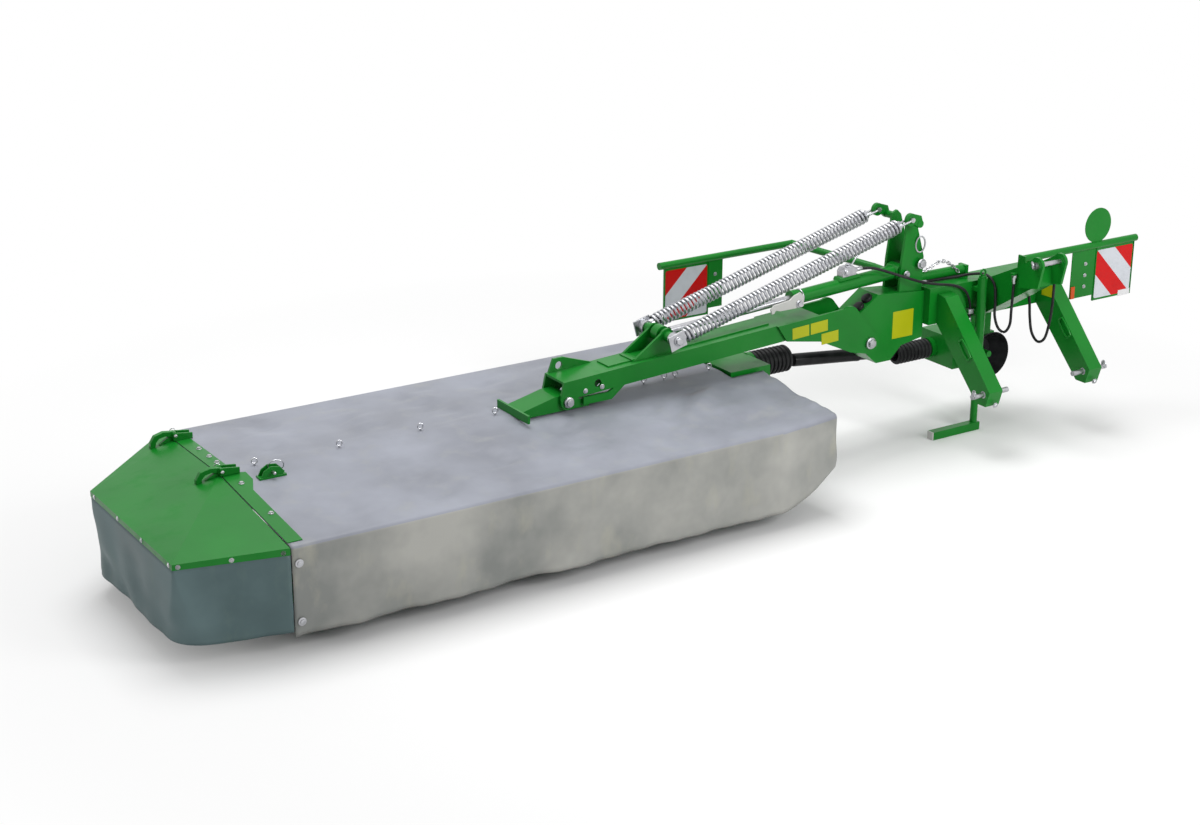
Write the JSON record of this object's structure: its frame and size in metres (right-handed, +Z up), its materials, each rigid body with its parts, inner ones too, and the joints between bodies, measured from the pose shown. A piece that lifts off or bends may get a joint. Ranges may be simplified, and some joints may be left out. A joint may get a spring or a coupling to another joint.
{
  "type": "rear-mounted disc mower",
  "caption": "Rear-mounted disc mower: a curtained cutter bar hung at its middle from a folding boom with relief springs, on a three-point headstock with a parking stand.",
  "frame": {"origin": "On the floor, on the sole of the middle skid, below the ridge of the cover and midway along the straight part of the cover.", "axes": "+X towards the tractor hitch, -Y the direction of travel, +Z up."},
  "size_m": [5.892, 1.5557, 1.282],
  "materials": {
    "green_paint": "gloss",
    "zinc_steel": "zinc plated",
    "dark_steel": "worn",
    "grey_cloth": "coated, satin",
    "black_rubber": "matte",
    "black_plastic": "satin",
    "warning_board": "red and white stripes"
  },
  "bodies": {
    "headstock": {"turret": "green_paint", "tower": "green_paint", "overload_strut": "green_paint", "cross_beam": "green_paint", "neck": "green_paint", "leg_near": "green_paint", "leg_far": "green_paint", "hitch_pins": "zinc_steel", "hitch_gearbox": "green_paint", "pto_guard": "black_plastic", "hitch_boot": "black_rubber", "stand_sleeve": "green_paint", "board_arm_left": "green_paint", "board_left": "warning_board", "board_arm_right": "green_paint", "board_right": "warning_board"},
    "boom_body": {"boom": "green_paint", "boom_fork": "green_paint", "mower_pin": "zinc_steel", "swing_pin": "zinc_steel", "spring_bracket": "green_paint", "spring_seats": "zinc_steel"},
    "mower": {"cutter_bar": "green_paint", "skids": "dark_steel", "carrier_beam": "green_paint", "bar_brackets": "green_paint", "cover_frame": "green_paint", "cover_top": "grey_cloth", "front_curtain": "grey_cloth", "rear_curtain": "grey_cloth", "inner_curtain": "grey_cloth", "end_strip": "green_paint", "mower_foot": "green_paint", "mower_gearbox": "green_paint", "mower_boot": "black_rubber"},
    "end_cover_body": {"end_cover": "green_paint", "end_curtain": "grey_cloth"},
    "lift_barrel_body": {"lift_barrel": "green_paint"},
    "lift_rod_body": {"lift_rod": "zinc_steel"},
    "springs": {"spring_front": "zinc_steel", "spring_rear": "zinc_steel", "spring_eyes": "zinc_steel"},
    "shaft_cross": {"hitch_cross": "zinc_steel"},
    "driveline": {"drive_shaft": "black_plastic"},
    "stand": {"stand_leg": "green_paint"},
    "disc_1_body": {"disc_1": "dark_steel"},
    "disc_2_body": {"disc_2": "dark_steel"},
    "disc_3_body": {"disc_3": "dark_steel"},
    "disc_4_body": {"disc_4": "dark_steel"},
    "disc_5_body": {"disc_5": "dark_steel"},
    "disc_6_body": {"disc_6": "dark_steel"},
    "disc_7_body": {"disc_7": "dark_steel"}
  },
  "joints": [
    {"name": "boom_lift", "type": "hinge", "parent": "headstock", "child": "boom_body", "pos_m": [2.33, -0.025, 0.602], "axis": [0, 1, 0], "range_deg": [-8, 90], "deforming": ["spring_front", "spring_rear", "drive_shaft"]},
    {"name": "mower_tilt", "type": "hinge", "parent": "boom_body", "child": "mower", "pos_m": [0.462, -0.025, 0.62], "axis": [0, 1, 0], "range_deg": [-3, 10], "deforming": ["drive_shaft"]},
    {"name": "end_cover_fold", "type": "hinge", "parent": "mower", "child": "end_cover_body", "pos_m": [-1.283, 0, 0.596], "axis": [0, 1, 0], "range_deg": [0, 160]},
    {"name": "stand_slide", "type": "slide", "parent": "headstock", "child": "stand", "axis": [0, 0, 1], "range_m": [0, 0.29]},
    {"name": "barrel_swing", "type": "hinge", "parent": "headstock", "child": "lift_barrel_body", "pos_m": [2.58, -0.025, 0.934], "axis": [0, 1, 0], "range_deg": [-8.27, 92.89]},
    {"name": "rod_slide", "type": "slide", "parent": "lift_barrel_body", "child": "lift_rod_body", "axis": [-0.9983, 0, -0.0588], "range_m": [-0.5919, 0.0531]},
    {"name": "spring_swing", "type": "hinge", "parent": "headstock", "child": "springs", "pos_m": [2.54, -0.025, 1.248], "axis": [0, 1, 0], "range_deg": [-9.62, 108.15]},
    {"name": "shaft_swing", "type": "hinge", "parent": "headstock", "child": "shaft_cross", "pos_m": [2.922, 0.125, 0.396], "axis": [0, 1, 0], "range_deg": [-3.66, 41.05]},
    {"name": "shaft_tilt", "type": "hinge", "parent": "shaft_cross", "child": "driveline", "pos_m": [2.922, 0.125, 0.396], "axis": [0, 1, 0], "range_deg": [-11.81, 3.55]},
    {"name": "disc_1_spin", "type": "hinge", "parent": "mower", "child": "disc_1_body", "pos_m": [-1.26, -0.2, 0.09], "axis": [0, 0, 1], "continuous": true},
    {"name": "disc_2_spin", "type": "hinge", "parent": "mower", "child": "disc_2_body", "pos_m": [-0.84, -0.2, 0.09], "axis": [0, 0, 1], "continuous": true},
    {"name": "disc_3_spin", "type": "hinge", "parent": "mower", "child": "disc_3_body", "pos_m": [-0.42, -0.2, 0.09], "axis": [0, 0, 1], "continuous": true},
    {"name": "disc_4_spin", "type": "hinge", "parent": "mower", "child": "disc_4_body", "pos_m": [0, -0.2, 0.09], "axis": [0, 0, 1], "continuous": true},
    {"name": "disc_5_spin", "type": "hinge", "parent": "mower", "child": "disc_5_body", "pos_m": [0.42, -0.2, 0.09], "axis": [0, 0, 1], "continuous": true},
    {"name": "disc_6_spin", "type": "hinge", "parent": "mower", "child": "disc_6_body", "pos_m": [0.84, -0.2, 0.09], "axis": [0, 0, 1], "continuous": true},
    {"name": "disc_7_spin", "type": "hinge", "parent": "mower", "child": "disc_7_body", "pos_m": [1.26, -0.2, 0.09], "axis": [0, 0, 1], "continuous": true}
  ],
  "couplings": [
    {"joint": "barrel_swing", "follows": "boom_lift", "ratio": 1.032},
    {"joint": "rod_slide", "follows": "boom_lift", "m_per_rad": -0.3765},
    {"joint": "spring_swing", "follows": "boom_lift", "ratio": 1.2016},
    {"joint": "shaft_swing", "follows": "boom_lift", "ratio": 0.456},
    {"joint": "shaft_tilt", "follows": "mower_tilt", "ratio": -1.18},
    {"joint": "disc_2_spin", "follows": "disc_1_spin", "ratio": -1},
    {"joint": "disc_3_spin", "follows": "disc_1_spin", "ratio": 1},
    {"joint": "disc_4_spin", "follows": "disc_1_spin", "ratio": -1},
    {"joint": "disc_5_spin", "follows": "disc_1_spin", "ratio": 1},
    {"joint": "disc_6_spin", "follows": "disc_1_spin", "ratio": -1},
    {"joint": "disc_7_spin", "follows": "disc_1_spin", "ratio": 1}
  ]
}
